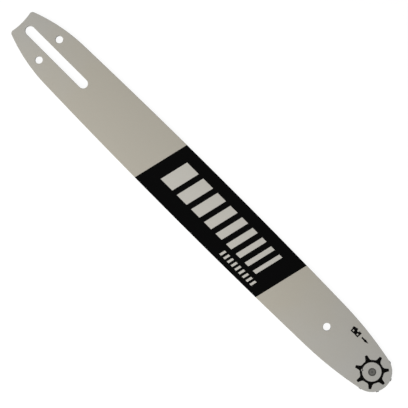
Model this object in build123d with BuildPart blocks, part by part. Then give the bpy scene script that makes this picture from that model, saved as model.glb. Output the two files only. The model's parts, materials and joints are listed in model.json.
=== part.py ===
from build123d import *
import os
from math import asin, cos, degrees, floor, pi, radians, sqrt, tan

# Chainsaw guide bar with a sprocket nose, welded up from two side plates and a narrower core plate.
# The bar lies flat with its nose towards +X, in millimetres.
# The origin is half way along the bar and across it, on the underside.

# Outline of the bar
bar_length = 456.2
nose_radius = 18.1
belly_rise = 8.6
belly_radius = 6300.0
nose_flank_radius = 345.0
tail_flank_radius = 157.0
tail_corner_radius = 3.0
tail_corner_spacing = 22.4
tail_hollow_radius = 60.0
edge_break = 0.35

# Laminations: the core leaves the chain groove open between the side plates
side_plate_thickness = 1.4
groove_width = 1.3
groove_depth = 7.0
sprocket_pocket_clearance = 1.6

# Openings for the saw's studs, the chain tensioner pin and a hook
stud_slot_width = 8.6
stud_slot_length = 75.0
stud_slot_from_tail = 6.6
tension_hole_diameter = 6.7
tension_hole_spacing = 25.5
tension_hole_from_tail = 34.8
oil_port_width = 3.0
hang_hole_diameter = 6.9
hang_hole_from_nose = 74.2

# Nose sprocket
sprocket_axis_from_nose = 17.6
tooth_count = 7
tooth_proud = 0.9
tooth_tip_width = 2.8
tooth_tip_fillet = 0.4
tooth_side_chamfer = 0.15
tooth_phase = 21.8
gullet_depth = 5.8
sprocket_rim = 2.2
sprocket_side_clearance = 0.05

# Roller bearing and the rivet that holds it
roller_diameter = 2.4
roller_gap = 0.02
bearing_play = 0.02
rivet_shank_diameter = 5.2
rivet_head_angle = 90.0
rivet_land = 0.35
rivet_fit = 0.02
rivet_dish_radius = 1.6
rivet_dish_depth = 0.12

# Sizes and places that follow from those above
bar_width = 2 * (nose_radius + belly_rise)
bar_thickness = 2 * side_plate_thickness + groove_width
core_height = side_plate_thickness
tail_x = -bar_length / 2
nose_x = bar_length / 2 - nose_radius
axis_x = bar_length / 2 - sprocket_axis_from_nose
stud_slot_x = tail_x + stud_slot_from_tail + stud_slot_length / 2
tension_hole_x = tail_x + tension_hole_from_tail
tension_hole_y = tension_hole_spacing / 2
hang_hole_x = bar_length / 2 - hang_hole_from_nose

sprocket_tip_radius = sprocket_axis_from_nose + tooth_proud
gullet_floor_radius = sprocket_tip_radius - gullet_depth
sprocket_bore_radius = gullet_floor_radius - sprocket_rim
sprocket_thickness = groove_width - 2 * sprocket_side_clearance
sprocket_height = core_height + sprocket_side_clearance
race_radius = sprocket_bore_radius - roller_diameter - 2 * bearing_play
roller_circle_radius = race_radius + bearing_play + roller_diameter / 2
roller_count = floor(pi / asin((roller_diameter + roller_gap) / (2 * roller_circle_radius)))
rivet_hole_radius = rivet_shank_diameter / 2 + rivet_fit
rivet_head_depth = side_plate_thickness - rivet_land
rivet_head_radius = rivet_shank_diameter / 2 + rivet_head_depth * tan(radians(rivet_head_angle / 2))
rivet_dish_sphere = (rivet_dish_radius**2 + rivet_dish_depth**2) / (2 * rivet_dish_depth)

belly_centre = Vector(0, bar_width / 2 - belly_radius)
nose_centre = Vector(nose_x, 0)
tail_corner_centre = Vector(tail_x + tail_corner_radius, tail_corner_spacing / 2)
hollow_reach = sqrt((tail_hollow_radius + tail_corner_radius) ** 2 - tail_corner_centre.Y**2)
hollow_centre = Vector(tail_corner_centre.X - hollow_reach, 0)


def flank_centre(end_centre, end_radius, flank_radius, side):
    """Centre of the flank arc that touches the belly arc and the arc at one end of the bar."""
    from_belly = belly_radius - flank_radius
    from_end = flank_radius - end_radius
    towards_end = end_centre - belly_centre
    reach = towards_end.length
    along = (reach**2 + from_belly**2 - from_end**2) / (2 * reach)
    aside = sqrt(from_belly**2 - along**2)
    forward = towards_end.normalized()
    left = forward.rotate(Axis.Z, 90)
    return belly_centre + forward * along + left * (side * aside)


def point_towards(centre, target, radius):
    """Point of the circle about centre that lies in the direction of target."""
    return centre + (target - centre).normalized() * radius


def point_over(centre, radius, x):
    """Upper point of the circle about centre at the given x."""
    return Vector(x, centre.Y + sqrt(radius**2 - (x - centre.X) ** 2))


nose_flank_centre = flank_centre(nose_centre, nose_radius, nose_flank_radius, 1)
tail_flank_centre = flank_centre(tail_corner_centre, tail_corner_radius, tail_flank_radius, -1)

# Outline of the side plates: tail hollow, corner, flank, belly, flank and nose, each tangent to the next
with BuildSketch() as bar_outline:
    with BuildLine():
        hollow_floor = hollow_centre + Vector(tail_hollow_radius, 0)
        hollow_end = point_towards(hollow_centre, tail_corner_centre, tail_hollow_radius)
        corner_end = point_towards(tail_flank_centre, tail_corner_centre, tail_flank_radius)
        belly_start = point_towards(belly_centre, tail_flank_centre, belly_radius)
        belly_end = point_towards(belly_centre, nose_flank_centre, belly_radius)
        nose_start = point_towards(nose_flank_centre, nose_centre, nose_flank_radius)
        nose_tip = nose_centre + Vector(nose_radius, 0)
        RadiusArc(hollow_floor, hollow_end, -tail_hollow_radius)
        RadiusArc(hollow_end, corner_end, tail_corner_radius)
        RadiusArc(corner_end, belly_start, tail_flank_radius)
        RadiusArc(belly_start, belly_end, belly_radius)
        RadiusArc(belly_end, nose_start, nose_flank_radius)
        RadiusArc(nose_start, nose_tip, nose_radius)
        mirror(about=Plane.XZ)
    make_face()

# Openings that go through all three laminations
with BuildSketch() as through_openings:
    with Locations((stud_slot_x, 0)):
        SlotOverall(stud_slot_length, stud_slot_width)
    with Locations((tension_hole_x, tension_hole_y), (tension_hole_x, -tension_hole_y)):
        Circle(tension_hole_diameter / 2)
    with Locations((hang_hole_x, 0)):
        Circle(hang_hole_diameter / 2)


def make_side_plate(inner_plane):
    """Side plate whose inner face lies on inner_plane and whose outer edges are broken."""
    outer_plane = inner_plane.offset(side_plate_thickness)
    with BuildPart() as side_plate:
        with BuildSketch(inner_plane):
            add(bar_outline.sketch)
            add(through_openings.sketch, mode=Mode.SUBTRACT)
        extrude(amount=side_plate_thickness)
        outer_face = side_plate.faces().sort_by(Axis(inner_plane.origin, inner_plane.z_dir))[-1]
        chamfer(outer_face.edges(), edge_break)
        with Locations(outer_plane * Location((axis_x, 0))):
            CounterSinkHole(
                rivet_hole_radius,
                rivet_head_radius + rivet_fit,
                side_plate_thickness,
                rivet_head_angle,
            )
    return side_plate.part


top_plane = Plane.XY.offset(core_height + groove_width)
bottom_plane = Plane((0, 0, core_height), x_dir=(1, 0, 0), z_dir=(0, 0, -1))
side_plate_top = make_side_plate(top_plane)
side_plate_top.label = "side_plate_top"
side_plate_bottom = make_side_plate(bottom_plane)
side_plate_bottom.label = "side_plate_bottom"

# Core plate: set back all round by the groove depth, with a pocket for the sprocket
with BuildPart() as core_plate:
    with BuildSketch(Plane.XY.offset(core_height)):
        add(bar_outline.sketch)
        with BuildLine():
            core_tail = point_over(tail_flank_centre, tail_flank_radius - groove_depth, tail_x)
            core_belly_start = point_towards(belly_centre, tail_flank_centre, belly_radius - groove_depth)
            core_belly_end = point_towards(belly_centre, nose_flank_centre, belly_radius - groove_depth)
            core_nose = point_over(nose_flank_centre, nose_flank_radius - groove_depth, nose_x)
            Line((core_tail.X, 0), core_tail)
            RadiusArc(core_tail, core_belly_start, tail_flank_radius - groove_depth)
            RadiusArc(core_belly_start, core_belly_end, belly_radius - groove_depth)
            RadiusArc(core_belly_end, core_nose, nose_flank_radius - groove_depth)
            Line(core_nose, (core_nose.X, 0))
            mirror(about=Plane.XZ)
        make_face(mode=Mode.INTERSECT)
        with Locations((axis_x, 0)):
            Circle(sprocket_tip_radius + sprocket_pocket_clearance, mode=Mode.SUBTRACT)
        add(through_openings.sketch, mode=Mode.SUBTRACT)
        # Oil ports lead from the tension holes into the groove
        for side in (1, -1):
            with Locations((tension_hole_x, side * (tension_hole_y + bar_width / 4))):
                Rectangle(oil_port_width, bar_width / 2, mode=Mode.SUBTRACT)
    extrude(amount=groove_width)
core_plate.part.label = "core_plate"

# Nose sprocket: a toothed ring with round gullets for the drive links
gullet_half_angle = 180 / tooth_count - degrees(tooth_tip_width / 2 / sprocket_tip_radius)
gullet_edge = sprocket_tip_radius * cos(radians(gullet_half_angle))
gullet_centre_radius = (sprocket_tip_radius**2 - gullet_floor_radius**2) / (2 * (gullet_edge - gullet_floor_radius))
gullet_radius = gullet_centre_radius - gullet_floor_radius
sprocket_plane = Plane((axis_x, 0, sprocket_height)).rotated((0, 0, tooth_phase))
with BuildPart() as nose_sprocket:
    with BuildSketch(sprocket_plane) as toothed_ring:
        Circle(sprocket_tip_radius)
        with PolarLocations(gullet_centre_radius, tooth_count, 180 / tooth_count):
            Circle(gullet_radius, mode=Mode.SUBTRACT)
        fillet(toothed_ring.vertices(), tooth_tip_fillet)
    extrude(amount=sprocket_thickness)
    flat_faces = nose_sprocket.faces().filter_by(Axis.Z)
    chamfer(flat_faces.edges(), tooth_side_chamfer)
    with Locations(sprocket_plane):
        Hole(sprocket_bore_radius)
nose_sprocket.part.label = "nose_sprocket"

# Inner race, clamped between the side plates by the rivet
with BuildPart() as bearing_race:
    with BuildSketch(Plane((axis_x, 0, core_height))):
        Circle(race_radius)
        Circle(rivet_hole_radius, mode=Mode.SUBTRACT)
    extrude(amount=groove_width)
bearing_race.part.label = "bearing_race"

# Rivet with a flush countersunk head on both faces of the bar, each with a shallow dish
rivet_plane = Plane((axis_x, 0, bar_thickness / 2), x_dir=(1, 0, 0), z_dir=(0, -1, 0))
with BuildPart() as nose_rivet:
    with BuildSketch(rivet_plane):
        with BuildLine():
            face_height = bar_thickness / 2
            dish_floor = (0, face_height - rivet_dish_depth)
            dish_rim = (rivet_dish_radius, face_height)
            Line((0, 0), dish_floor)
            RadiusArc(dish_floor, dish_rim, -rivet_dish_sphere)
            Polyline(
                dish_rim,
                (rivet_head_radius, face_height),
                (rivet_shank_diameter / 2, face_height - rivet_head_depth),
                (rivet_shank_diameter / 2, 0),
            )
            mirror(about=Plane.XZ)
        make_face()
    revolve(axis=Axis(rivet_plane.origin, rivet_plane.y_dir))
nose_rivet.part.label = "nose_rivet"

os.makedirs("parts", exist_ok=True)
for part in (
    side_plate_top,
    side_plate_bottom,
    core_plate.part,
    nose_sprocket.part,
    bearing_race.part,
    nose_rivet.part,
):
    export_step(part, f"parts/{part.label}.step")

# Full complement of rollers between the race and the sprocket
for number in range(roller_count):
    spoke = Vector(roller_circle_radius, 0).rotate(Axis.Z, 360 * number / roller_count)
    with BuildPart(Plane((axis_x + spoke.X, spoke.Y, sprocket_height))) as roller:
        Cylinder(roller_diameter / 2, sprocket_thickness, align=(Align.CENTER, Align.CENTER, Align.MIN))
    roller.part.label = f"roller_{number + 1:02d}"
    export_step(roller.part, f"parts/{roller.part.label}.step")
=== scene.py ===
"""Looks of the chainsaw guide bar: painted and printed plates, bare steel inside, floor, light, camera."""

import json
import math

import bpy
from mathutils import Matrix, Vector


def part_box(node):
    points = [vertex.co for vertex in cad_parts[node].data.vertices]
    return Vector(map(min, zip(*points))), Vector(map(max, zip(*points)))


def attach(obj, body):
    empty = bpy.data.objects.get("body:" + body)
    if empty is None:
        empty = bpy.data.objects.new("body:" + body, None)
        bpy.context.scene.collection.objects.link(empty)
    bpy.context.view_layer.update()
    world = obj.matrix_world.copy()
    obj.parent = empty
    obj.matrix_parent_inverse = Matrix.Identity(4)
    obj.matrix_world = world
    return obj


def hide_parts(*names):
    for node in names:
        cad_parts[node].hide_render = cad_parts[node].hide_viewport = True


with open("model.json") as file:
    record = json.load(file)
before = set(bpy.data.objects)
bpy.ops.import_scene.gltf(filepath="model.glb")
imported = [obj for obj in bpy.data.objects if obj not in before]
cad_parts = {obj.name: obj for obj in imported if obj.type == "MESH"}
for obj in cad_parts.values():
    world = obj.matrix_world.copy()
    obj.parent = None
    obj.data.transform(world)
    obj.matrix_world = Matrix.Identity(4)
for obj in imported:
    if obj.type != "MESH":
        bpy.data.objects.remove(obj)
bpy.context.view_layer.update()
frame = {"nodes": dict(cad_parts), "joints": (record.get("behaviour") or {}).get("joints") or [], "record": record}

# Bar, in metres: heights and ends come from the frame, and the arcs of the outline are the bar's own
MM = 0.001
PLATE_LOW, PLATE_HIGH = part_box("side_plate_top")
CORE_LOW, CORE_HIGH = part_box("core_plate")
SPROCKET_LOW, SPROCKET_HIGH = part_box("nose_sprocket")
RIVET_LOW, RIVET_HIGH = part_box("nose_rivet")
MOUNTS = {mount["name"]: mount for mount in frame["record"]["mounts"]}
JOINTS = {joint["name"]: joint for joint in frame["joints"]}
FACE_HEIGHT = PLATE_HIGH.z
PLATE_THICKNESS = PLATE_HIGH.z - PLATE_LOW.z
TAIL_X = PLATE_LOW.x
NOSE_TIP_X = PLATE_HIGH.x
HALF_WIDTH = 26.7 * MM
NOSE_RADIUS = 18.1 * MM
BELLY_RADIUS = 6300 * MM
NOSE_FLANK_RADIUS = 345 * MM
TAIL_FLANK_RADIUS = 157 * MM
TAIL_CORNER_RADIUS = 3 * MM
TAIL_CORNER_SPACING = 22.4 * MM
TAIL_HOLLOW_RADIUS = 60 * MM
GROOVE_DEPTH = 7 * MM
EDGE_ROUND = 0.35 * MM

# Openings through all three plates
STUD_SLOT_CENTRE = Vector(MOUNTS["stud_slot"]["pos_m"]).to_2d()
STUD_SLOT_WIDTH = 8.6 * MM
STUD_SLOT_LENGTH = 75 * MM
OIL_PORT_WIDTH = 3 * MM
ROUND_HOLES = [
    (Vector(MOUNTS[name]["pos_m"]).to_2d(), MOUNTS[name]["dims"]["r_mm"] * MM)
    for name in ("tension_hole_left", "tension_hole_right", "hang_hole")
]
TENSION_HOLES = ROUND_HOLES[:2]

# Nose: sprocket, its pocket in the core, and the rivet
AXIS = Vector(JOINTS["sprocket_spin"]["pos_m"]).to_2d()
TOOTH_COUNT = 7
TOOTH_PITCH = math.tau / TOOTH_COUNT
TOOTH_PHASE = math.radians(21.8)
TOOTH_TIP_RADIUS = 18.5 * MM
TOOTH_TIP_WIDTH = 2.8 * MM
TOOTH_TIP_ROUND = 0.4 * MM
TOOTH_EDGE_ROUND = 0.15 * MM
GULLET_FLOOR_RADIUS = 12.7 * MM
SPROCKET_BORE_RADIUS = 10.5 * MM
POCKET_RADIUS = 20.1 * MM
RIVET_HEAD_RADIUS = (RIVET_HIGH.x - RIVET_LOW.x) / 2
RIVET_HEAD_DEPTH = 1.05 * MM
RIVET_SHANK_RADIUS = 2.6 * MM
RIVET_FIT = 0.02 * MM
RIVET_DISH_RADIUS = 1.6 * MM
RIVET_DISH_DEPTH = 0.12 * MM
RIVET_DISH_STEPS = 8
RIVET_RIM_ROUND = 0.14 * MM
RIVET_RIM_BULGE = 0.3

# Print: thin films of ink on the top face
INK_THICKNESS = 0.02 * MM
INK_SEAT = 0.005 * MM
BAND_TAIL_X = -53.68 * MM
BAND_NOSE_X = 96.88 * MM
BAND_LEAN = 0.2365
BAND_SLANT = math.atan(BAND_LEAN)
DESIGN_TAIL_X = -40 * MM
DESIGN_LOW = -11.2 * MM
DESIGN_HIGH = 15.6 * MM
DESIGN_BARS = 9
DESIGN_FIRST_WIDTH = 14.5 * MM
DESIGN_SHRINK = 0.85
DESIGN_GAP = 5.6 * MM
TICK_COUNT = 9
TICK_TAIL_X = 46 * MM
TICK_PITCH = 4.7 * MM
TICK_WIDTH = 2.2 * MM
TICK_LOW = -21.6 * MM
TICK_HIGH = -16 * MM
STAR_CENTRE = AXIS + Vector((-0.35, -0.2)) * MM
STAR_TIP_RADIUS = 15.3 * MM
STAR_TIP_WIDTH = 2.4 * MM
STAR_TIP_ROUND = 0.3 * MM
STAR_TAPER = math.radians(11)
STAR_ROOT_FILLET = 2.6 * MM
STAR_RING_RADIUS = 10.65 * MM
STAR_INNER_RADIUS = 8.55 * MM
FLAW_TURN = math.radians(214)
BLOT_REACH = 8.2 * MM
BLOT_RADIUS = 0.55 * MM
NICK_REACH = 9.15 * MM
NICK_LENGTH = 2.2 * MM
NICK_WIDTH = 0.7 * MM
MARK_CORNER = Vector((170.3, 12.5)) * MM

# Modelling: how far a chord may leave its arc, what is welded, and which normals count as flat or as painted
ARC_SAG = 0.002 * MM
FEWEST_ARC_STEPS = 4
ROUND_STEPS = 3
TURNED_STEPS = 128
WELD_DISTANCE = 0.02 * MM
PEN_SIZE = 1 * MM
SMOOTH_ANGLE = math.radians(40)
FLAT_NORMAL = 0.9
PAINTED_NORMAL = 0.05
OPENING_MARGIN = 1.1

# Finishes: scales are waves per metre, and the second tone of a film grows towards the bar's ends as painted
# light, a cooler and paler colour that stands in for the light there
CLOUD_SCALE = 22
SPECKLE_SCALE = 2600
PEEL_SCALE = 900
OIL_SCALE = 160
CLOUD_GLOSS = 0.12
SPECKLE_GLOSS = 0.1
LINE_GLOSS = 0.4
RING_GLOSS = 0.3
OIL_GLOSS = 0.12
OIL_SHADE = 0.35
OIL_DRY = 0.42
OIL_WET = 0.68
# Painted light towards the bar's ends: where it is centred, where it starts and ends, and how far its border
# wanders
END_LIGHT_CENTRE = -25 * MM
END_LIGHT_START = 125 * MM
END_LIGHT_END = 258 * MM
END_LIGHT_DRIFT = 120 * MM
# Painted shade on the rivet's head: the scale of its ragged border, and the radii where it fills the dish and the
# seam
PAINTED_SHADE_SCALE = 900
PAINTED_SHADE_RAGGED = 1.2 * MM
DISH_SHADE_CORE = 0.4 * MM
DISH_SHADE_EDGE = 1.4 * MM
SEAM_SHADE_EDGE = 2.0 * MM
SEAM_SHADE_CORE = 2.7 * MM

# Floor, light and camera
FLOOR_SIZE = 6
FLOOR_GAP = 0.02 * MM
FLOOR_TOUCH = 0.2 * MM
FLOOR_TONE = 0.12
FLOOR_GLOW = 0.935
BACKGROUND_LIGHT = 1
WALL_LIGHT = 0.6
WALL_TOP = 0.5
CEILING_LIGHT = 0.05
CEILING_EDGE = 0.95
KEY_PLACE = Vector((-0.08, -0.24, 0.25))
KEY_LENGTH = 0.9
KEY_WIDTH = 0.34
KEY_POWER = 2.09
CAMERA_PLACE = Vector((0.157, 0.17)) * MM
CAMERA_DISTANCE = 1.4
CAMERA_TURN = math.radians(44.93)
VIEW_WIDTH = 360.9 * MM
SENSOR_WIDTH = 36


def polar(centre, radius, angle):
    """Point of the circle about centre at the angle, counted from +X."""
    return centre + Vector((math.cos(angle), math.sin(angle))) * radius


def towards(centre, target, radius):
    """Point of the circle about centre that lies in the direction of target."""
    return centre + (target - centre).normalized() * radius


def over(centre, radius, x):
    """Upper point of the circle about centre at the given x."""
    return Vector((x, centre.y + math.sqrt(radius**2 - (x - centre.x) ** 2)))


def mirrored(point):
    """The same point on the other side of the bar's centre line."""
    return Vector((point.x, -point.y))


def crossing(first, first_radius, second, second_radius, side):
    """Point where two circles cross, left (1) or right (-1) of the way from the first to the second."""
    forward = second - first
    reach = forward.length
    along = (reach**2 + first_radius**2 - second_radius**2) / (2 * reach)
    aside = math.sqrt(first_radius**2 - along**2)
    forward.normalize()
    left = Vector((-forward.y, forward.x))
    return first + forward * along + left * (side * aside)


def flank_centre(end_centre, end_radius, flank_radius, side):
    """Centre of the flank arc that touches the belly arc and the arc at one end of the bar."""
    return crossing(BELLY_CENTRE, BELLY_RADIUS - flank_radius, end_centre, flank_radius - end_radius, side)


# Centres of the outline's arcs, on the upper half of the bar
BELLY_CENTRE = Vector((0, HALF_WIDTH - BELLY_RADIUS))
NOSE_CENTRE = Vector((NOSE_TIP_X - NOSE_RADIUS, 0))
NOSE_FLANK = flank_centre(NOSE_CENTRE, NOSE_RADIUS, NOSE_FLANK_RADIUS, 1)
TAIL_CORNER = Vector((TAIL_X + TAIL_CORNER_RADIUS, TAIL_CORNER_SPACING / 2))
TAIL_FLANK = flank_centre(TAIL_CORNER, TAIL_CORNER_RADIUS, TAIL_FLANK_RADIUS, -1)
HOLLOW_REACH = math.sqrt((TAIL_HOLLOW_RADIUS + TAIL_CORNER_RADIUS) ** 2 - TAIL_CORNER.y**2)
HOLLOW_CENTRE = Vector((TAIL_CORNER.x - HOLLOW_REACH, 0))


def deselect_all():
    """Leave nothing selected, so that an operator acts on its own piece alone."""
    if bpy.context.mode != "OBJECT":
        bpy.ops.object.mode_set(mode="OBJECT")
    bpy.ops.object.select_all(action="DESELECT")


def pick(piece):
    """Make a piece the only selected one."""
    deselect_all()
    piece.select_set(True)
    bpy.context.view_layer.objects.active = piece


def edit_all(piece):
    """Enter edit mode with the whole piece selected."""
    pick(piece)
    bpy.ops.object.mode_set(mode="EDIT")
    bpy.ops.mesh.select_all(action="SELECT")


def select_where(piece, kind, test):
    """Enter edit mode with the vertices, edges or faces selected that pass the test."""
    edit_all(piece)
    bpy.ops.mesh.select_mode(type=kind)
    bpy.ops.mesh.select_all(action="DESELECT")
    bpy.ops.object.mode_set(mode="OBJECT")
    mesh = piece.data
    for element in {"VERT": mesh.vertices, "EDGE": mesh.edges, "FACE": mesh.polygons}[kind]:
        element.select = test(element)
    bpy.ops.object.mode_set(mode="EDIT")


def settle_added(name):
    """Name the primitive that was just added and put its place into its mesh."""
    piece = bpy.context.object
    piece.name = name
    bpy.ops.object.transform_apply(location=True, rotation=True, scale=True)
    return piece


def apply_modifier(piece, kind, **settings):
    """Add a modifier to a piece and apply it."""
    pick(piece)
    modifier = piece.modifiers.new(kind, kind)
    for name, value in settings.items():
        setattr(modifier, name, value)
    bpy.ops.object.modifier_apply(modifier=modifier.name)


def line_to(end):
    """Straight run of an outline to the given point."""
    return (None, end)


def arc_to(centre, end):
    """Arc of an outline about centre, the shorter way round, to the given point."""
    return (centre, end)


def set_pen(name, start, height):
    """New piece with a single vertex at the start of an outline, selected in edit mode."""
    deselect_all()
    corner = (start.x + PEN_SIZE / 2, start.y + PEN_SIZE / 2, height)
    bpy.ops.mesh.primitive_plane_add(size=PEN_SIZE, location=corner)
    piece = settle_added(name)
    select_where(piece, "VERT", lambda vertex: vertex.index > 0)
    bpy.ops.mesh.delete(type="VERT")
    bpy.ops.mesh.select_all(action="SELECT")
    return piece


def draw_outline(name, start, moves, height):
    """Flat face at the given height whose outline is drawn from one point by straight runs and arcs."""
    piece = set_pen(name, start, height)
    pen = start
    for centre, end in moves:
        if centre is None:
            step = end - pen
            bpy.ops.mesh.extrude_vertices_move(TRANSFORM_OT_translate={"value": (step.x, step.y, 0)})
        else:
            arm = pen - centre
            sweep = arm.angle_signed(end - centre)
            widest_step = 2 * math.acos(1 - ARC_SAG / arm.length)
            bpy.ops.mesh.spin(
                steps=max(FEWEST_ARC_STEPS, math.ceil(abs(sweep) / widest_step)),
                angle=sweep,
                center=(centre.x, centre.y, height),
                axis=(0, 0, 1),
            )
        pen = end
    bpy.ops.mesh.select_all(action="SELECT")
    bpy.ops.mesh.remove_doubles(threshold=WELD_DISTANCE)
    bpy.ops.mesh.edge_face_add()
    bpy.ops.object.mode_set(mode="OBJECT")
    return piece


def thicken(piece, depth):
    """Turn a flat face into a plate that reaches up by depth."""
    edit_all(piece)
    bpy.ops.mesh.extrude_region_move(TRANSFORM_OT_translate={"value": (0, 0, depth)})
    bpy.ops.mesh.select_all(action="SELECT")
    bpy.ops.mesh.normals_make_consistent(inside=False)
    bpy.ops.object.mode_set(mode="OBJECT")
    return piece


def turn(name, rings):
    """Turned solid about the nose axis, from the radii and heights of its rings, bottom to top."""
    radius, height = rings[0]
    deselect_all()
    bpy.ops.mesh.primitive_circle_add(
        vertices=TURNED_STEPS, radius=radius, fill_type="NGON", location=(AXIS.x, AXIS.y, height)
    )
    piece = settle_added(name)
    edit_all(piece)
    for next_radius, next_height in rings[1:]:
        bpy.ops.mesh.extrude_region_move(TRANSFORM_OT_translate={"value": (0, 0, next_height - height)})
        share = next_radius / radius
        bpy.ops.transform.resize(value=(share, share, 1), center_override=(AXIS.x, AXIS.y, next_height))
        radius, height = next_radius, next_height
    bpy.ops.mesh.select_all(action="SELECT")
    bpy.ops.mesh.normals_make_consistent(inside=False)
    bpy.ops.object.mode_set(mode="OBJECT")
    return piece


def duplicate(piece, name):
    """Copy of a piece with its own mesh, left selected."""
    pick(piece)
    bpy.ops.object.duplicate()
    copy = bpy.context.object
    copy.name = name
    return copy


def cut(piece, cutter):
    """Cut one piece out of another and throw the cutter away."""
    apply_modifier(piece, "BOOLEAN", operation="DIFFERENCE", solver="EXACT", object=cutter)
    bpy.data.objects.remove(cutter)


def cut_outline(piece, outline, low, high):
    """Cut an outline through a piece between two heights, with room to spare above and below."""
    spare = high - low
    cutter = draw_outline("cutter", *outline, low - spare)
    cut(piece, thicken(cutter, high - low + 2 * spare))


def round_edges(piece, height, width):
    """Round the edges that border the flat face at the given height."""
    mesh = piece.data
    flat_edges = set()
    steep_edges = set()
    for face in mesh.polygons:
        group = flat_edges if abs(face.normal.z) > FLAT_NORMAL else steep_edges
        group.update(face.edge_keys)
    border = flat_edges & steep_edges

    def on_border(edge):
        ends = [mesh.vertices[index].co.z for index in edge.vertices]
        return edge.key in border and all(abs(z - height) < WELD_DISTANCE for z in ends)

    select_where(piece, "EDGE", on_border)
    bpy.ops.mesh.bevel(offset=width, segments=ROUND_STEPS, profile=0.5, affect="EDGES", clamp_overlap=False)
    bpy.ops.object.mode_set(mode="OBJECT")


def smooth(piece):
    """Smooth the round faces and keep the flat ones flat."""
    pick(piece)
    bpy.ops.object.shade_smooth_by_angle(angle=SMOOTH_ANGLE)
    apply_modifier(piece, "WEIGHTED_NORMAL", keep_sharp=True)


def circle(centre, radius):
    """Start and moves of a full circle in four quarters."""
    left = centre - Vector((radius, 0))
    right = centre + Vector((radius, 0))
    top = centre + Vector((0, radius))
    bottom = centre - Vector((0, radius))
    return left, [arc_to(centre, point) for point in (top, right, bottom, left)]


def slot(centre, length, width):
    """Start and moves of a slot with round ends that runs along X."""
    radius = width / 2
    reach = Vector((length / 2 - radius, 0))
    tail_end = centre - reach
    nose_end = centre + reach
    up = Vector((0, radius))
    out = Vector((radius, 0))
    return tail_end + up, [
        line_to(nose_end + up),
        arc_to(nose_end, nose_end + out),
        arc_to(nose_end, nose_end - up),
        line_to(tail_end - up),
        arc_to(tail_end, tail_end - out),
        arc_to(tail_end, tail_end + up),
    ]


def nick(centre, length, width, angle):
    """Start and moves of a slim lens with two pointed ends, turned by the angle."""
    radius = (length**2 + width**2) / (4 * width)
    along = polar(Vector((0, 0)), length / 2, angle)
    aside = polar(Vector((0, 0)), radius - width / 2, angle + math.pi / 2)
    return centre + along, [
        arc_to(centre - aside, centre - along),
        arc_to(centre + aside, centre + along),
    ]


def closed_run(corners):
    """Start and moves of an outline with straight sides."""
    return corners[0], [line_to(corner) for corner in (*corners[1:], corners[0])]


def belly_ends(inset):
    """First and last point of the long belly arc on the upper edge, set back by inset."""
    belly_start = towards(BELLY_CENTRE, TAIL_FLANK, BELLY_RADIUS - inset)
    belly_end = towards(BELLY_CENTRE, NOSE_FLANK, BELLY_RADIUS - inset)
    return belly_start, belly_end


def bar_outline():
    """Start and moves of the bar's outline, from the floor of the tail hollow round by the nose."""
    hollow_floor = HOLLOW_CENTRE + Vector((TAIL_HOLLOW_RADIUS, 0))
    hollow_end = towards(HOLLOW_CENTRE, TAIL_CORNER, TAIL_HOLLOW_RADIUS)
    corner_end = towards(TAIL_FLANK, TAIL_CORNER, TAIL_FLANK_RADIUS)
    belly_start, belly_end = belly_ends(0)
    nose_start = towards(NOSE_FLANK, NOSE_CENTRE, NOSE_FLANK_RADIUS)
    nose_tip = NOSE_CENTRE + Vector((NOSE_RADIUS, 0))
    points = [hollow_floor, hollow_end, corner_end, belly_start, belly_end, nose_start, nose_tip]
    centres = [HOLLOW_CENTRE, TAIL_CORNER, TAIL_FLANK, BELLY_CENTRE, NOSE_FLANK, NOSE_CENTRE]
    upper = [arc_to(centre, end) for centre, end in zip(centres, points[1:])]
    way_back = zip(reversed(centres), reversed(points[:-1]))
    lower = [arc_to(mirrored(centre), mirrored(end)) for centre, end in way_back]
    return hollow_floor, upper + lower


def core_outline():
    """Start and moves of the core, set back by the groove depth and cut off square at both ends."""
    tail_end = over(TAIL_FLANK, TAIL_FLANK_RADIUS - GROOVE_DEPTH, TAIL_X)
    belly_start, belly_end = belly_ends(GROOVE_DEPTH)
    nose_end = over(NOSE_FLANK, NOSE_FLANK_RADIUS - GROOVE_DEPTH, NOSE_CENTRE.x)
    return tail_end, [
        arc_to(TAIL_FLANK, belly_start),
        arc_to(BELLY_CENTRE, belly_end),
        arc_to(NOSE_FLANK, nose_end),
        line_to(mirrored(nose_end)),
        arc_to(mirrored(NOSE_FLANK), mirrored(belly_end)),
        arc_to(mirrored(BELLY_CENTRE), mirrored(belly_start)),
        arc_to(mirrored(TAIL_FLANK), mirrored(tail_end)),
        line_to(tail_end),
    ]


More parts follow.
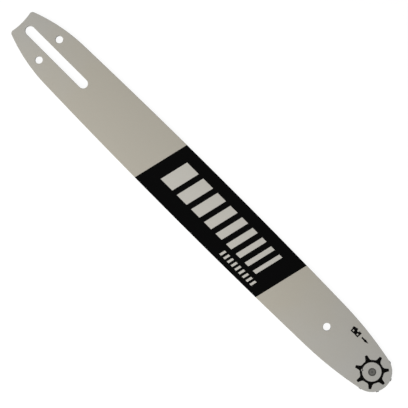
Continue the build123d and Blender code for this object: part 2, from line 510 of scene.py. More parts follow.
def sprocket_outline():
    """Start and moves of the nose sprocket, with round gullets and rounded tooth tips."""
    half_pitch = TOOTH_PITCH / 2
    half_tip = TOOTH_TIP_WIDTH / 2 / TOOTH_TIP_RADIUS
    gullet_edge = TOOTH_TIP_RADIUS * math.cos(half_pitch - half_tip)
    gullet_reach = (TOOTH_TIP_RADIUS**2 - GULLET_FLOOR_RADIUS**2) / (2 * (gullet_edge - GULLET_FLOOR_RADIUS))
    gullet_radius = gullet_reach - GULLET_FLOOR_RADIUS
    corner_reach = TOOTH_TIP_RADIUS - TOOTH_TIP_ROUND

    def tip_corner(gullet, side):
        return crossing(AXIS, corner_reach, gullet, gullet_radius + TOOTH_TIP_ROUND, side)

    moves = []
    for tooth in range(TOOTH_COUNT):
        angle = TOOTH_PHASE + tooth * TOOTH_PITCH
        gullet_before = polar(AXIS, gullet_reach, angle - half_pitch)
        gullet_after = polar(AXIS, gullet_reach, angle + half_pitch)
        first_corner = tip_corner(gullet_before, 1)
        last_corner = tip_corner(gullet_after, -1)
        moves += [
            arc_to(gullet_before, towards(gullet_before, first_corner, gullet_radius)),
            arc_to(first_corner, towards(AXIS, first_corner, TOOTH_TIP_RADIUS)),
            arc_to(AXIS, towards(AXIS, last_corner, TOOTH_TIP_RADIUS)),
            arc_to(last_corner, towards(gullet_after, last_corner, gullet_radius)),
            arc_to(gullet_after, polar(AXIS, GULLET_FLOOR_RADIUS, angle + half_pitch)),
        ]
    return polar(AXIS, GULLET_FLOOR_RADIUS, TOOTH_PHASE - half_pitch), moves


def star_flank():
    """Four points on one side of a printed tooth, along and aside of its middle line.

    They are the centre of the tip's round, the two ends of the straight flank and the centre of the
    root's fillet.
    """
    outward = Vector((math.sin(STAR_TAPER), math.cos(STAR_TAPER)))
    inward = Vector((-outward.y, outward.x))
    aside = STAR_TIP_WIDTH / 2 - STAR_TIP_ROUND * outward.y
    tip_centre = Vector((math.sqrt((STAR_TIP_RADIUS - STAR_TIP_ROUND) ** 2 - aside**2), aside))
    flank_top = tip_centre + outward * STAR_TIP_ROUND
    start = flank_top + outward * STAR_ROOT_FILLET
    drop = start.dot(inward)
    fillet_reach = STAR_RING_RADIUS + STAR_ROOT_FILLET
    run = -drop - math.sqrt(drop**2 - start.length_squared + fillet_reach**2)
    root_centre = start + inward * run
    return tip_centre, flank_top, root_centre - outward * STAR_ROOT_FILLET, root_centre


def star_outline():
    """Start and moves of the printed wheel: tapered teeth on a ring, with filleted roots and round tips."""
    flank = star_flank()
    start = polar(STAR_CENTRE, STAR_RING_RADIUS, -TOOTH_PITCH / 2)
    moves = []
    for tooth in range(TOOTH_COUNT):
        out = polar(Vector((0, 0)), 1, tooth * TOOTH_PITCH)
        left = Vector((-out.y, out.x))
        right_side, left_side = [
            [STAR_CENTRE + out * point.x + left * (side * point.y) for point in flank] for side in (-1, 1)
        ]
        tip_centre, flank_top, flank_foot, root_centre = right_side
        moves += [
            arc_to(STAR_CENTRE, towards(STAR_CENTRE, root_centre, STAR_RING_RADIUS)),
            arc_to(root_centre, flank_foot),
            line_to(flank_top),
            arc_to(tip_centre, towards(STAR_CENTRE, tip_centre, STAR_TIP_RADIUS)),
        ]
        tip_centre, flank_top, flank_foot, root_centre = left_side
        moves += [
            arc_to(STAR_CENTRE, towards(STAR_CENTRE, tip_centre, STAR_TIP_RADIUS)),
            arc_to(tip_centre, flank_top),
            line_to(flank_foot),
            arc_to(root_centre, towards(STAR_CENTRE, root_centre, STAR_RING_RADIUS)),
        ]
    return start, [*moves, arc_to(STAR_CENTRE, start)]


def star_window():
    """Start and moves of the open middle of the printed wheel, with the blot of ink that runs into it."""
    blot = polar(STAR_CENTRE, BLOT_REACH, FLAW_TURN)
    before, after = [crossing(STAR_CENTRE, STAR_INNER_RADIUS, blot, BLOT_RADIUS, side) for side in (-1, 1)]
    third = math.tau / 3
    return before, [
        arc_to(blot, towards(blot, STAR_CENTRE, BLOT_RADIUS)),
        arc_to(blot, after),
        arc_to(STAR_CENTRE, polar(STAR_CENTRE, STAR_INNER_RADIUS, FLAW_TURN + third)),
        arc_to(STAR_CENTRE, polar(STAR_CENTRE, STAR_INNER_RADIUS, FLAW_TURN - third)),
        arc_to(STAR_CENTRE, before),
    ]


def mark_point(x, y):
    """Point of the direction mark, in millimetres from its corner."""
    return MARK_CORNER + Vector((x, y)) * MM


def cutter_outline():
    """Start and moves of the printed cutter: heel, top plate, round gullet, depth gauge and two feet."""
    gullet = mark_point(5.8, 4.65)
    gullet_radius = 0.95 * MM
    arch_centre = mark_point(5.1, -3.5)
    return mark_point(0.6, 0), [
        line_to(mark_point(0.5, 2.7)),
        line_to(mark_point(0, 2.9)),
        line_to(mark_point(0, 4.9)),
        line_to(mark_point(4.6, 5.9)),
        line_to(gullet - Vector((gullet_radius, 0))),
        arc_to(gullet, gullet - Vector((0, gullet_radius))),
        arc_to(gullet, gullet + Vector((gullet_radius, 0))),
        line_to(mark_point(6.85, 5.2)),
        line_to(mark_point(9.6, 5.2)),
        line_to(mark_point(9.3, 0)),
        line_to(mark_point(6.3, 0)),
        arc_to(arch_centre, mark_point(3.9, 0)),
        line_to(mark_point(0.6, 0)),
    ]


def arrow_outline():
    """Start and moves of the printed arrow: a straight shaft and a slim head."""
    shaft_start = 12
    head_start = 15.7
    tip = 20.1
    middle = 2.7
    half_shaft = 0.76
    half_head = 1.3
    return closed_run(
        [
            mark_point(shaft_start, middle - half_shaft),
            mark_point(shaft_start, middle + half_shaft),
            mark_point(head_start, middle + half_shaft),
            mark_point(head_start, middle + half_head),
            mark_point(tip, middle),
            mark_point(head_start, middle - half_head),
            mark_point(head_start, middle - half_shaft),
        ]
    )


def leaning_bar(x, width, low, high):
    """Start and moves of a bar whose upright sides lean as the band's ends do."""
    corners = [(x, low), (x, high), (x + width, high), (x + width, low)]
    return closed_run([Vector((across + up * BAND_LEAN, up)) for across, up in corners])


def cut_openings(piece, low, high):
    """Cut the stud slot, the tension holes and the hang hole through a plate."""
    cut_outline(piece, slot(STUD_SLOT_CENTRE, STUD_SLOT_LENGTH, STUD_SLOT_WIDTH), low, high)
    for centre, radius in ROUND_HOLES:
        cut_outline(piece, circle(centre, radius), low, high)


def make_countersink():
    """Cutter for the rivet's hole and its cone."""
    hole_radius = RIVET_SHANK_RADIUS + RIVET_FIT
    cone_radius = RIVET_HEAD_RADIUS + RIVET_FIT
    rings = [
        (hole_radius, PLATE_LOW.z - PLATE_THICKNESS),
        (hole_radius, FACE_HEIGHT - RIVET_HEAD_DEPTH),
        (cone_radius, FACE_HEIGHT),
        (cone_radius, FACE_HEIGHT + PLATE_THICKNESS),
    ]
    return turn("countersink", rings)


def make_top_plate():
    """Side plate with rounded outer edges and a countersink for the rivet."""
    plate = thicken(draw_outline("painted_plate_top", *bar_outline(), PLATE_LOW.z), PLATE_THICKNESS)
    cut_openings(plate, PLATE_LOW.z, FACE_HEIGHT)
    round_edges(plate, FACE_HEIGHT, EDGE_ROUND)
    cut(plate, make_countersink())
    return plate


def make_bottom_plate(top_plate):
    """Copy of the top plate, turned over about the middle of the bar's thickness."""
    plate = duplicate(top_plate, "painted_plate_bottom")
    edit_all(plate)
    bpy.ops.transform.resize(value=(1, 1, -1), center_override=(0, 0, FACE_HEIGHT / 2))
    bpy.ops.mesh.normals_make_consistent(inside=False)
    bpy.ops.object.mode_set(mode="OBJECT")
    return plate


def make_core():
    """Core plate with the tail hollow, the sprocket's pocket, the openings and the oil ports."""
    low, high = CORE_LOW.z, CORE_HIGH.z
    core = thicken(draw_outline("core_lamination", *core_outline(), low), high - low)
    cut_outline(core, circle(HOLLOW_CENTRE, TAIL_HOLLOW_RADIUS), low, high)
    cut_outline(core, circle(AXIS, POCKET_RADIUS), low, high)
    cut_openings(core, low, high)
    for centre, _ in TENSION_HOLES:
        outward = Vector((0, math.copysign(HALF_WIDTH, centre.y)))
        across = Vector((OIL_PORT_WIDTH / 2, 0))
        port = [centre - across, centre + outward - across, centre + outward + across, centre + across]
        cut_outline(core, closed_run(port), low, high)
    return core


def make_sprocket():
    """Nose sprocket with rounded tooth tips, broken edges and its bore."""
    low, high = SPROCKET_LOW.z, SPROCKET_HIGH.z
    sprocket = thicken(draw_outline("toothed_sprocket", *sprocket_outline(), low), high - low)
    cut_outline(sprocket, circle(AXIS, SPROCKET_BORE_RADIUS), low, high)
    for height in (low, high):
        round_edges(sprocket, height, TOOTH_EDGE_ROUND)
    return sprocket


def make_rivet():
    """Rivet with a flush countersunk head on both faces, each with a shallow dish and a rounded rim."""
    half = []
    for step in range(1, RIVET_DISH_STEPS + 1):
        share = step / RIVET_DISH_STEPS
        half.append((RIVET_DISH_RADIUS * share, RIVET_DISH_DEPTH * (1 - share**2)))
    rim_bulge = RIVET_RIM_ROUND * RIVET_RIM_BULGE
    half += [
        (RIVET_HEAD_RADIUS - RIVET_RIM_ROUND, 0),
        (RIVET_HEAD_RADIUS - rim_bulge, rim_bulge),
        (RIVET_HEAD_RADIUS - RIVET_RIM_ROUND, RIVET_RIM_ROUND),
        (RIVET_SHANK_RADIUS, RIVET_HEAD_DEPTH),
    ]
    lower = [(radius, RIVET_LOW.z + depth) for radius, depth in half]
    upper = [(radius, RIVET_HIGH.z - depth) for radius, depth in reversed(half)]
    return turn("flush_rivet", lower + upper)


def make_band(plate):
    """Black band over the whole width of the face and its rounded edges, cut off on a slant at both ends."""
    band = duplicate(plate, "band_print")
    select_where(band, "FACE", lambda face: face.normal.z < PAINTED_NORMAL)
    bpy.ops.mesh.delete(type="FACE")
    for x, side in ((BAND_TAIL_X, 1), (BAND_NOSE_X, -1)):
        bpy.ops.mesh.select_all(action="SELECT")
        inward = (side * math.cos(BAND_SLANT), -side * math.sin(BAND_SLANT), 0)
        bpy.ops.mesh.bisect(plane_co=(x, 0, FACE_HEIGHT), plane_no=inward, clear_inner=True)
    thickness = INK_THICKNESS + INK_SEAT
    outer_share = INK_THICKNESS / thickness
    apply_modifier(band, "SOLIDIFY", thickness=thickness, offset=2 * outer_share - 1)
    return band


def print_film(name, outline, layer=0):
    """Flat film of ink, on the paint or on a first layer of ink."""
    low = FACE_HEIGHT - INK_SEAT + layer * INK_THICKNESS
    return thicken(draw_outline(name, *outline, low), INK_THICKNESS + INK_SEAT)


def join(films):
    """Make one piece of several films of ink."""
    pick(films[0])
    for film in films:
        film.select_set(True)
    bpy.ops.object.join()
    return films[0]


def cut_film(film, outline):
    """Leave an outline out of a film of ink."""
    cut_outline(film, outline, FACE_HEIGHT - INK_SEAT, FACE_HEIGHT + INK_THICKNESS)


def make_band_design():
    """Plain row of slanted bars that grow narrower towards the nose, and a row of ticks under its end."""
    bars = []
    x = DESIGN_TAIL_X
    width = DESIGN_FIRST_WIDTH
    for _ in range(DESIGN_BARS):
        bars.append(print_film("band_design", leaning_bar(x, width, DESIGN_LOW, DESIGN_HIGH), layer=1))
        x += width + DESIGN_GAP
        width *= DESIGN_SHRINK
    ticks = print_film("ticks", leaning_bar(TICK_TAIL_X, TICK_WIDTH, TICK_LOW, TICK_HIGH), layer=1)
    apply_modifier(
        ticks,
        "ARRAY",
        count=TICK_COUNT,
        use_relative_offset=False,
        use_constant_offset=True,
        constant_offset_displace=(TICK_PITCH, 0, 0),
    )
    return join([*bars, ticks])


def make_sprocket_print():
    """Printed wheel around the rivet, which tells where the sprocket is, with its small blot and nick."""
    star = print_film("sprocket_print", star_outline())
    cut_film(star, star_window())
    nick_centre = polar(STAR_CENTRE, NICK_REACH, FLAW_TURN)
    cut_film(star, nick(nick_centre, NICK_LENGTH, NICK_WIDTH, FLAW_TURN + math.pi / 2))
    return star


def make_direction_mark():
    """Printed cutter with its two rivet holes, and the arrow, which tell the way that the chain runs."""
    cutter = print_film("direction_mark", cutter_outline())
    rear_hole = mark_point(2.45, 1.85)
    front_hole = mark_point(7.45, 1.85)
    hole_radius = 0.8 * MM
    for hole in (rear_hole, front_hole):
        cut_film(cutter, circle(hole, hole_radius))
    return join([cutter, print_film("arrow", arrow_outline())])


def srgb(red, green, blue):
    """Colour as a screen shows it, from 0 to 255, in the light values that a shader takes."""

    def light(value):
        share = value / 255
        return share / 12.92 if share <= 0.04045 else ((share + 0.055) / 1.055) ** 2.4

    return (light(red), light(green), light(blue), 1)


def add_node(tree, kind, inputs=None, **settings):
    """Add a node whose inputs are given as plain values or as the sockets that feed them."""
    node = tree.nodes.new(kind)
    for name, value in settings.items():
        setattr(node, name, value)
    for name, value in (inputs or {}).items():
        if isinstance(value, bpy.types.NodeSocket):
            tree.links.new(value, node.inputs[name])
        else:
            node.inputs[name].default_value = value
    return node


def compute(tree, operation, first, second=0):
    """Sum, product or the like of two values."""
    return add_node(tree, "ShaderNodeMath", {0: first, 1: second}, operation=operation).outputs["Value"]


def vector_compute(tree, operation, inputs, output="Vector"):
    """Sum, product, length or the like of vectors."""
    return add_node(tree, "ShaderNodeVectorMath", inputs, operation=operation).outputs[output]


def noise(tree, vector, scale, detail=2, roughness=0.5):
    """Noise from 0 to 1 on the given coordinates."""
    inputs = {"Vector": vector, "Scale": scale, "Detail": detail, "Roughness": roughness}
    return add_node(tree, "ShaderNodeTexNoise", inputs).outputs["Fac"]


def fade(tree, value, zero, one):
    """Value mapped so that it grows from 0 at one bound to 1 at the other."""
    inputs = {"Value": value, "From Min": zero, "From Max": one}
    return add_node(tree, "ShaderNodeMapRange", inputs).outputs["Result"]


def swing(tree, pattern, depth):
    """A pattern from 0 to 1 turned into a value that swings about 0 by half the depth each way."""
    return compute(tree, "MULTIPLY", compute(tree, "SUBTRACT", pattern, 0.5), depth)


def shaded(tree, colour, change):
    """Colour made lighter or darker by a share."""
    return vector_compute(tree, "SCALE", {"Vector": colour, "Scale": compute(tree, "ADD", change, 1)})


def polished(tree, roughness, change, share):
    """Roughness that falls as a change of tone rises."""
    return compute(tree, "SUBTRACT", roughness, compute(tree, "MULTIPLY", change, share))


def blended(tree, factor, first, second):
    """Mix of two colours."""
    mix = add_node(tree, "ShaderNodeMix", {"Factor": factor}, data_type="RGBA")
    first_input, second_input = [socket for socket in mix.inputs if socket.type == "RGBA"]
    tree.links.new(first, first_input)
    tree.links.new(second, second_input)
    return next(socket for socket in mix.outputs if socket.type == "RGBA")


def object_coordinates(tree):
    """Coordinates in the shared frame, because every piece sits at the origin."""
    return add_node(tree, "ShaderNodeTexCoord").outputs["Object"]


FLOAT = "NodeSocketFloat"
COLOUR = "NodeSocketColor"
VECTOR = "NodeSocketVector"


def new_group(name, inputs, outputs):
    """Empty node group with named inputs and outputs, and its two end nodes."""
    group = bpy.data.node_groups.new(name, "ShaderNodeTree")
    for label, kind in inputs.items():
        group.interface.new_socket(label, in_out="INPUT", socket_type=kind)
    for label, kind in outputs.items():
        group.interface.new_socket(label, in_out="OUTPUT", socket_type=kind)
    return group, group.nodes.new("NodeGroupInput").outputs, group.nodes.new("NodeGroupOutput").inputs


def hand_out(group, sockets, **results):
    """Wire results to the outputs of a group."""
    for label, result in results.items():
        group.links.new(result, sockets[label])


def make_sprayed_film():
    """Thin sprayed or printed coat: painted light as a cooler, paler second tone at the bar's ends, faint clouds
    and speckle, orange peel.
    """
    group, given, made = new_group(
        "sprayed_film",
        {"Colour": COLOUR, "End light colour": COLOUR, "Roughness": FLOAT, "Clouds": FLOAT, "Speckle": FLOAT},
        {"Colour": COLOUR, "Roughness": FLOAT, "Height": FLOAT},
    )
    place = object_coordinates(group)
    clouds = noise(group, place, CLOUD_SCALE, detail=3)
    speckle = noise(group, place, SPECKLE_SCALE, roughness=0.6)
    peel = noise(group, place, PEEL_SCALE, roughness=0.4)
    # Painted light: the colour turns to the end light colour towards both ends of the bar
    along = add_node(group, "ShaderNodeSeparateXYZ", {"Vector": place}).outputs["X"]
    from_middle = compute(group, "ABSOLUTE", compute(group, "SUBTRACT", along, END_LIGHT_CENTRE))
    drifted = compute(group, "ADD", from_middle, swing(group, clouds, END_LIGHT_DRIFT))
    ends = fade(group, drifted, END_LIGHT_START, END_LIGHT_END)
    end_lit = blended(group, ends, given["Colour"], given["End light colour"])
    change = compute(
        group, "ADD", swing(group, clouds, given["Clouds"]), swing(group, speckle, given["Speckle"])
    )
    gloss = compute(group, "ADD", swing(group, clouds, CLOUD_GLOSS), swing(group, speckle, SPECKLE_GLOSS))
    hand_out(
        group,
        made,
        Colour=shaded(group, end_lit, change),
        Roughness=compute(group, "ADD", given["Roughness"], gloss),
        Height=peel,
    )
    return group


def make_drawn_lines():
    """Lines of grinding, rolling or shearing, drawn out along the axes with a small stretch value."""
    group, given, made = new_group(
        "drawn_lines",
        {"Colour": COLOUR, "Roughness": FLOAT, "Stretch": VECTOR, "Depth": FLOAT},
        {"Colour": COLOUR, "Roughness": FLOAT, "Height": FLOAT},
    )
    stretched = vector_compute(group, "MULTIPLY", {0: object_coordinates(group), 1: given["Stretch"]})
    lines = noise(group, stretched, 1, detail=5, roughness=0.65)
    change = swing(group, lines, given["Depth"])
    hand_out(
        group,
        made,
        Colour=shaded(group, given["Colour"], change),
        Roughness=polished(group, given["Roughness"], change, LINE_GLOSS),
        Height=lines,
    )
    return group


def make_turned_rings():
    """Fine rings about the nose axis, as a lathe or a riveting die leaves them, and the radius there."""
    group, given, made = new_group(
        "turned_rings",
        {"Colour": COLOUR, "Roughness": FLOAT, "Rings per metre": FLOAT, "Depth": FLOAT},
        {"Colour": COLOUR, "Roughness": FLOAT, "Height": FLOAT, "Radius": FLOAT},
    )
    centred = add_node(
        group,
        "ShaderNodeMapping",
        {"Vector": object_coordinates(group), "Location": (-AXIS.x, -AXIS.y, 0)},
    ).outputs["Vector"]
    flat = vector_compute(group, "MULTIPLY", {0: centred, 1: (1, 1, 0)})
    radius = vector_compute(group, "LENGTH", {0: flat}, output="Value")
    count = compute(group, "MULTIPLY", radius, given["Rings per metre"])
    along = add_node(group, "ShaderNodeCombineXYZ", {"X": count}).outputs["Vector"]
    rings = noise(group, along, 1, detail=3, roughness=0.6)
    change = swing(group, rings, given["Depth"])
    hand_out(
        group,
        made,
        Colour=shaded(group, given["Colour"], change),
        Roughness=polished(group, given["Roughness"], change, RING_GLOSS),
        Height=rings,
        Radius=radius,
    )
    return group


def make_oil_film():
    """Patches of preserving oil that darken bare steel and make it smoother."""
    group, given, made = new_group(
        "oil_film",
        {"Colour": COLOUR, "Roughness": FLOAT, "Amount": FLOAT},
        {"Colour": COLOUR, "Roughness": FLOAT},
    )
    patches = noise(group, object_coordinates(group), OIL_SCALE, detail=4, roughness=0.6)
    share = compute(group, "MULTIPLY", fade(group, patches, OIL_DRY, OIL_WET), given["Amount"])
    hand_out(
        group,
        made,
        Colour=shaded(group, given["Colour"], compute(group, "MULTIPLY", share, -OIL_SHADE)),
        Roughness=polished(group, given["Roughness"], share, OIL_GLOSS),
    )
    return group


SPRAYED_FILM = make_sprayed_film()
DRAWN_LINES = make_drawn_lines()
TURNED_RINGS = make_turned_rings()
OIL_FILM = make_oil_film()


def new_material(name):
    """Material with an empty node tree."""
    material = bpy.data.materials.new(name)
    material.use_nodes = True
    material.node_tree.nodes.clear()
    return material, material.node_tree


def effect(tree, group, inputs):
    """One of the shared effects, placed in a material with its own values."""
    return add_node(tree, "ShaderNodeGroup", inputs, node_tree=group).outputs


def oiled(tree, steel, amount):
    """Oil on the steel that another effect gives."""
    inputs = {"Colour": steel["Colour"], "Roughness": steel["Roughness"], "Amount": amount}
    return effect(tree, OIL_FILM, inputs)


def painted_head_shade(tree, radius):
    """Mask of painted shade in the dish of the rivet's head and in the seam round it, with ragged edges."""
    spread = swing(tree, noise(tree, object_coordinates(tree), PAINTED_SHADE_SCALE), PAINTED_SHADE_RAGGED)
    ragged = compute(tree, "ADD", radius, spread)
    dish = fade(tree, ragged, DISH_SHADE_EDGE, DISH_SHADE_CORE)
    seam = fade(tree, ragged, SEAM_SHADE_EDGE, SEAM_SHADE_CORE)
    return compute(tree, "MAXIMUM", dish, seam)


def finish_surface(tree, colour, roughness, height, relief, **constants):
    """Shader and output of a material, with its relief given in metres."""
    bump = add_node(tree, "ShaderNodeBump", {"Height": height, "Distance": relief, "Strength": 1})
    inputs = {"Base Color": colour, "Roughness": roughness, "Normal": bump.outputs["Normal"]}
    shader = add_node(tree, "ShaderNodeBsdfPrincipled", {**inputs, **constants})
    add_node(tree, "ShaderNodeOutputMaterial", {"Surface": shader.outputs["BSDF"]})


def sprayed_material(name, colour, end_light_colour, roughness, clouds, speckle, relief, specular):
    """Coat of paint or ink."""
    material, tree = new_material(name)
    inputs = {"Colour": colour, "End light colour": end_light_colour, "Roughness": roughness}
    coat = effect(tree, SPRAYED_FILM, {**inputs, "Clouds": clouds, "Speckle": speckle})
    constants = {"Specular IOR Level": specular}
    finish_surface(tree, coat["Colour"], coat["Roughness"], coat["Height"], relief, **constants)
    return material


def lined_steel(name, colour, roughness, stretch, depth, relief, oil, metallic=1):
    """Steel with lines of working and some oil on it."""
    material, tree = new_material(name)
    inputs = {"Colour": colour, "Roughness": roughness, "Stretch": stretch, "Depth": depth}
    lines = effect(tree, DRAWN_LINES, inputs)
    wet = oiled(tree, lines, oil)
    finish_surface(tree, wet["Colour"], wet["Roughness"], lines["Height"], relief, Metallic=metallic)
    return material


def ringed_steel(name, colour, roughness, rings, depth, relief, oil, painted_shade=0):
    """Bare steel with turned rings about the nose axis, some oil, and painted shade in the dish and seam where it
    is a rivet's head.
    """
    material, tree = new_material(name)
    inputs = {"Colour": colour, "Roughness": roughness, "Rings per metre": rings, "Depth": depth}
    turned = effect(tree, TURNED_RINGS, inputs)
    wet = oiled(tree, turned, oil)
    tone = wet["Colour"]
    # Painted shade darkens a rivet's head in its dish and round its seam
    if painted_shade:
        tone = shaded(tree, tone, compute(tree, "MULTIPLY", painted_head_shade(tree, turned["Radius"]), -painted_shade))
    finish_surface(tree, tone, wet["Roughness"], turned["Height"], relief, Metallic=1)
    return material


# The end colours of the paint and the inks are painted light towards the bar's ends
PAINT = sprayed_material(
    "satin_paint",
    colour=srgb(172, 167, 155),
    end_light_colour=srgb(171.5, 170.5, 166.5),
    roughness=0.5,
    clouds=0.03,
    speckle=0.05,
    relief=0.004 * MM,
    specular=0.4,
)
BLACK_INK = sprayed_material(
    "black_ink",
    colour=srgb(6, 6, 6),
    end_light_colour=srgb(7, 7, 6),
    roughness=0.28,
    clouds=0.1,
    speckle=0.3,
    relief=0.002 * MM,
    specular=0.02,
)
GREY_INK = sprayed_material(
    "grey_ink",
    colour=srgb(188, 185, 177),
    end_light_colour=srgb(186, 185, 181),
    roughness=0.55,
    clouds=0.02,
    speckle=0.06,
    relief=0.003 * MM,
    specular=0.3,
)
RAIL_STEEL = lined_steel(
    "ground_rail",
    colour=srgb(176, 177, 178),
    roughness=0.4,
    stretch=(70, 70, 6000),
    depth=0.5,
    relief=0.004 * MM,
    oil=0.4,
)
INNER_STEEL = lined_steel(
    "rolled_steel",
    colour=srgb(120, 121, 122),
    roughness=0.45,
    stretch=(60, 900, 900),
    depth=0.4,
    relief=0.004 * MM,
    oil=0.8,
)
# The walls of the openings are dark and not metallic: punched steel, kept dark as painted shade inside the holes
# and the slot
HOLE_WALL = lined_steel(
    "punched_wall",
    colour=srgb(58, 56, 53),
    roughness=0.6,
    stretch=(2600, 2600, 160),
    depth=0.5,
    relief=0.01 * MM,
    oil=0.3,
    metallic=0,
)
TOOTH_STEEL = lined_steel(
    "hardened_tooth",
    colour=srgb(116, 115, 113),
    roughness=0.42,
    stretch=(1500, 1500, 1500),
    depth=0.3,
    relief=0.003 * MM,
    oil=0.4,
)
# The rivet's head carries painted shade in its dish and at its seam
RIVET_STEEL = ringed_steel(
    "rivet_head",
    colour=srgb(108, 107, 103.5),
    roughness=0.46,
    rings=4200,
    depth=0.5,
    relief=0.004 * MM,
    oil=0.6,
    painted_shade=0.44,
)
BEARING_STEEL = ringed_steel(
    "bearing_steel",
    colour=srgb(188, 189, 190),
    roughness=0.22,
    rings=9000,
    depth=0.2,
    relief=0.001 * MM,
    oil=0.5,
)


def in_opening(point):
    """Whether a point of a plate lies on the wall of the slot or of a hole."""
    to_slot = point.to_2d() - STUD_SLOT_CENTRE
    in_length = abs(to_slot.x) < STUD_SLOT_LENGTH / 2 * OPENING_MARGIN
    in_width = abs(to_slot.y) < STUD_SLOT_WIDTH / 2 * OPENING_MARGIN
    holes = [*ROUND_HOLES, (AXIS, RIVET_HEAD_RADIUS)]
    in_hole = any((point.to_2d() - centre).length < radius * OPENING_MARGIN for centre, radius in holes)
    return in_hole or (in_length and in_width)


def dress_plate(plate, outward):
    """Paint on the outer face and its rounded edges, ground steel on the rails, dark walls in the openings that
    paint their shade, bare steel inside.
    """
    finishes = [PAINT, RAIL_STEEL, HOLE_WALL, INNER_STEEL]
    for material in finishes:
        plate.data.materials.append(material)
    for face in plate.data.polygons:
        if face.normal.z * outward > PAINTED_NORMAL:
            finish = PAINT
        elif face.normal.z * outward < -FLAT_NORMAL:
            finish = INNER_STEEL
        else:
            finish = HOLE_WALL if in_opening(face.center) else RAIL_STEEL
        face.material_index = finishes.index(finish)


def dress(piece, material):
    """Give a piece one finish all over."""
    piece.data.materials.clear()
    piece.data.materials.append(material)


def seen_rays(tree, rays):
    """Whether a ray comes from the camera, or from gloss or glass that shows what the camera would see."""
    seen = compute(tree, "MAXIMUM", rays["Is Camera Ray"], rays["Is Glossy Ray"])
    return compute(tree, "MAXIMUM", seen, rays["Is Transmission Ray"])


def make_floor():
    """Pale floor that reads as white, keeps the bar's shadow and lets the underside be seen and lit."""
    deselect_all()
    bpy.ops.mesh.primitive_plane_add(size=FLOOR_SIZE, location=(0, 0, -FLOOR_GAP))
    floor = settle_added("floor")
    material, tree = new_material("pale_floor")
    rays = add_node(tree, "ShaderNodeLightPath").outputs
    strength = compute(tree, "MULTIPLY", seen_rays(tree, rays), FLOOR_GLOW)
    matt = add_node(tree, "ShaderNodeBsdfDiffuse", {"Color": (FLOOR_TONE, FLOOR_TONE, FLOOR_TONE, 1)})
    glow = add_node(tree, "ShaderNodeEmission", {"Strength": strength})
    lit = add_node(tree, "ShaderNodeAddShader", {0: matt.outputs[0], 1: glow.outputs[0]})
    clear = add_node(tree, "ShaderNodeBsdfTransparent")
    below = add_node(tree, "ShaderNodeNewGeometry").outputs["Backfacing"]
    touching = compute(tree, "LESS_THAN", rays["Ray Length"], FLOOR_TOUCH)
    unseen = compute(tree, "MAXIMUM", below, touching)
    either = add_node(tree, "ShaderNodeMixShader", {0: unseen, 1: lit.outputs[0], 2: clear.outputs[0]})
    add_node(tree, "ShaderNodeOutputMaterial", {"Surface": either.outputs[0]})
    dress(floor, material)


def make_world():
    """Even studio light from the walls under a dark ceiling, and a white background where it is seen."""
    world = bpy.data.worlds.new("studio")
    world.use_nodes = True
    bpy.context.scene.world = world
    tree = world.node_tree
    tree.nodes.clear()
    rays = add_node(tree, "ShaderNodeLightPath").outputs
    way = add_node(tree, "ShaderNodeTexCoord").outputs["Generated"]
    height = add_node(tree, "ShaderNodeSeparateXYZ", {"Vector": way}).outputs["Z"]
    bounds = {"From Min": WALL_TOP, "From Max": CEILING_EDGE, "To Min": WALL_LIGHT, "To Max": CEILING_LIGHT}
    glow = add_node(tree, "ShaderNodeMapRange", {"Value": height, **bounds}).outputs["Result"]
    levels = {"Factor": seen_rays(tree, rays), "A": glow, "B": BACKGROUND_LIGHT}
    strength = add_node(tree, "ShaderNodeMix", levels, data_type="FLOAT").outputs["Result"]
    background = add_node(tree, "ShaderNodeBackground", {"Color": (1, 1, 1, 1), "Strength": strength})
    add_node(tree, "ShaderNodeOutputWorld", {"Surface": background.outputs["Background"]})


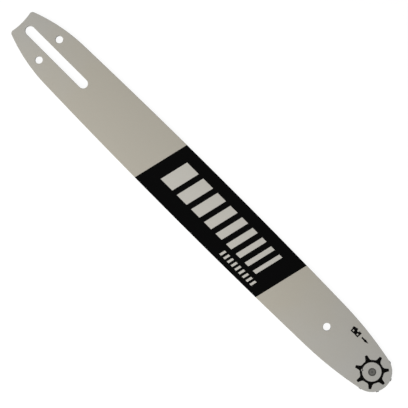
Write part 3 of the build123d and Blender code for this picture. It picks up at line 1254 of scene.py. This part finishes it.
def make_key_light():
    """Soft strip along the bar that faces it from the low side, kept out of what bare steel mirrors."""
    deselect_all()
    bpy.ops.object.light_add(type="AREA", location=KEY_PLACE)
    lamp = bpy.context.object
    lamp.name = "key_light"
    lamp.data.shape = "RECTANGLE"
    lamp.data.size = KEY_LENGTH
    lamp.data.size_y = KEY_WIDTH
    lamp.data.energy = KEY_POWER
    lamp.visible_glossy = False
    lamp.rotation_euler = (math.atan2(-KEY_PLACE.y, KEY_PLACE.z), 0, 0)


def make_camera():
    """Camera straight above the bar, turned as in the photograph."""
    deselect_all()
    bpy.ops.object.camera_add(location=(CAMERA_PLACE.x, CAMERA_PLACE.y, FACE_HEIGHT + CAMERA_DISTANCE))
    camera = bpy.context.object
    camera.rotation_euler = (0, 0, CAMERA_TURN)
    camera.data.sensor_width = SENSOR_WIDTH
    camera.data.lens = SENSOR_WIDTH * CAMERA_DISTANCE / VIEW_WIDTH
    bpy.context.scene.camera = camera


# Pieces
top_plate = make_top_plate()
bottom_plate = make_bottom_plate(top_plate)
core = make_core()
sprocket = make_sprocket()
rivet = make_rivet()
band = make_band(top_plate)
design = make_band_design()
star = make_sprocket_print()
mark = make_direction_mark()

# Finishes, also of the bearing's own solids
for piece in (top_plate, bottom_plate, core, sprocket, rivet, band, design, star, mark):
    smooth(piece)
dress_plate(top_plate, 1)
dress_plate(bottom_plate, -1)
for piece, material in (
    (core, INNER_STEEL),
    (sprocket, TOOTH_STEEL),
    (rivet, RIVET_STEEL),
    (band, BLACK_INK),
    (design, GREY_INK),
    (star, BLACK_INK),
    (mark, BLACK_INK),
):
    dress(piece, material)
for name, node in frame["nodes"].items():
    if name == "bearing_race" or name.startswith("roller"):
        dress(node, BEARING_STEEL)

# Bodies that the pieces ride on, and the solids that they stand for
for piece, body, node, finish_slot in (
    (top_plate, "bar", "side_plate_top", "plate_paint"),
    (bottom_plate, "bar", "side_plate_bottom", "plate_paint"),
    (core, "bar", "core_plate", "core_steel"),
    (rivet, "bar", "nose_rivet", "rivet_steel"),
    (sprocket, "sprocket", "nose_sprocket", "sprocket_steel"),
):
    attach(piece, body)
    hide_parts(node)
for piece, finish_slot in (
    (band, "print_black"),
    (design, "print_grey"),
    (star, "print_black"),
    (mark, "print_black"),
):
    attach(piece, "bar")

# Stage
make_floor()
make_world()
make_key_light()
make_camera()
bpy.context.scene.view_settings.view_transform = "Standard"
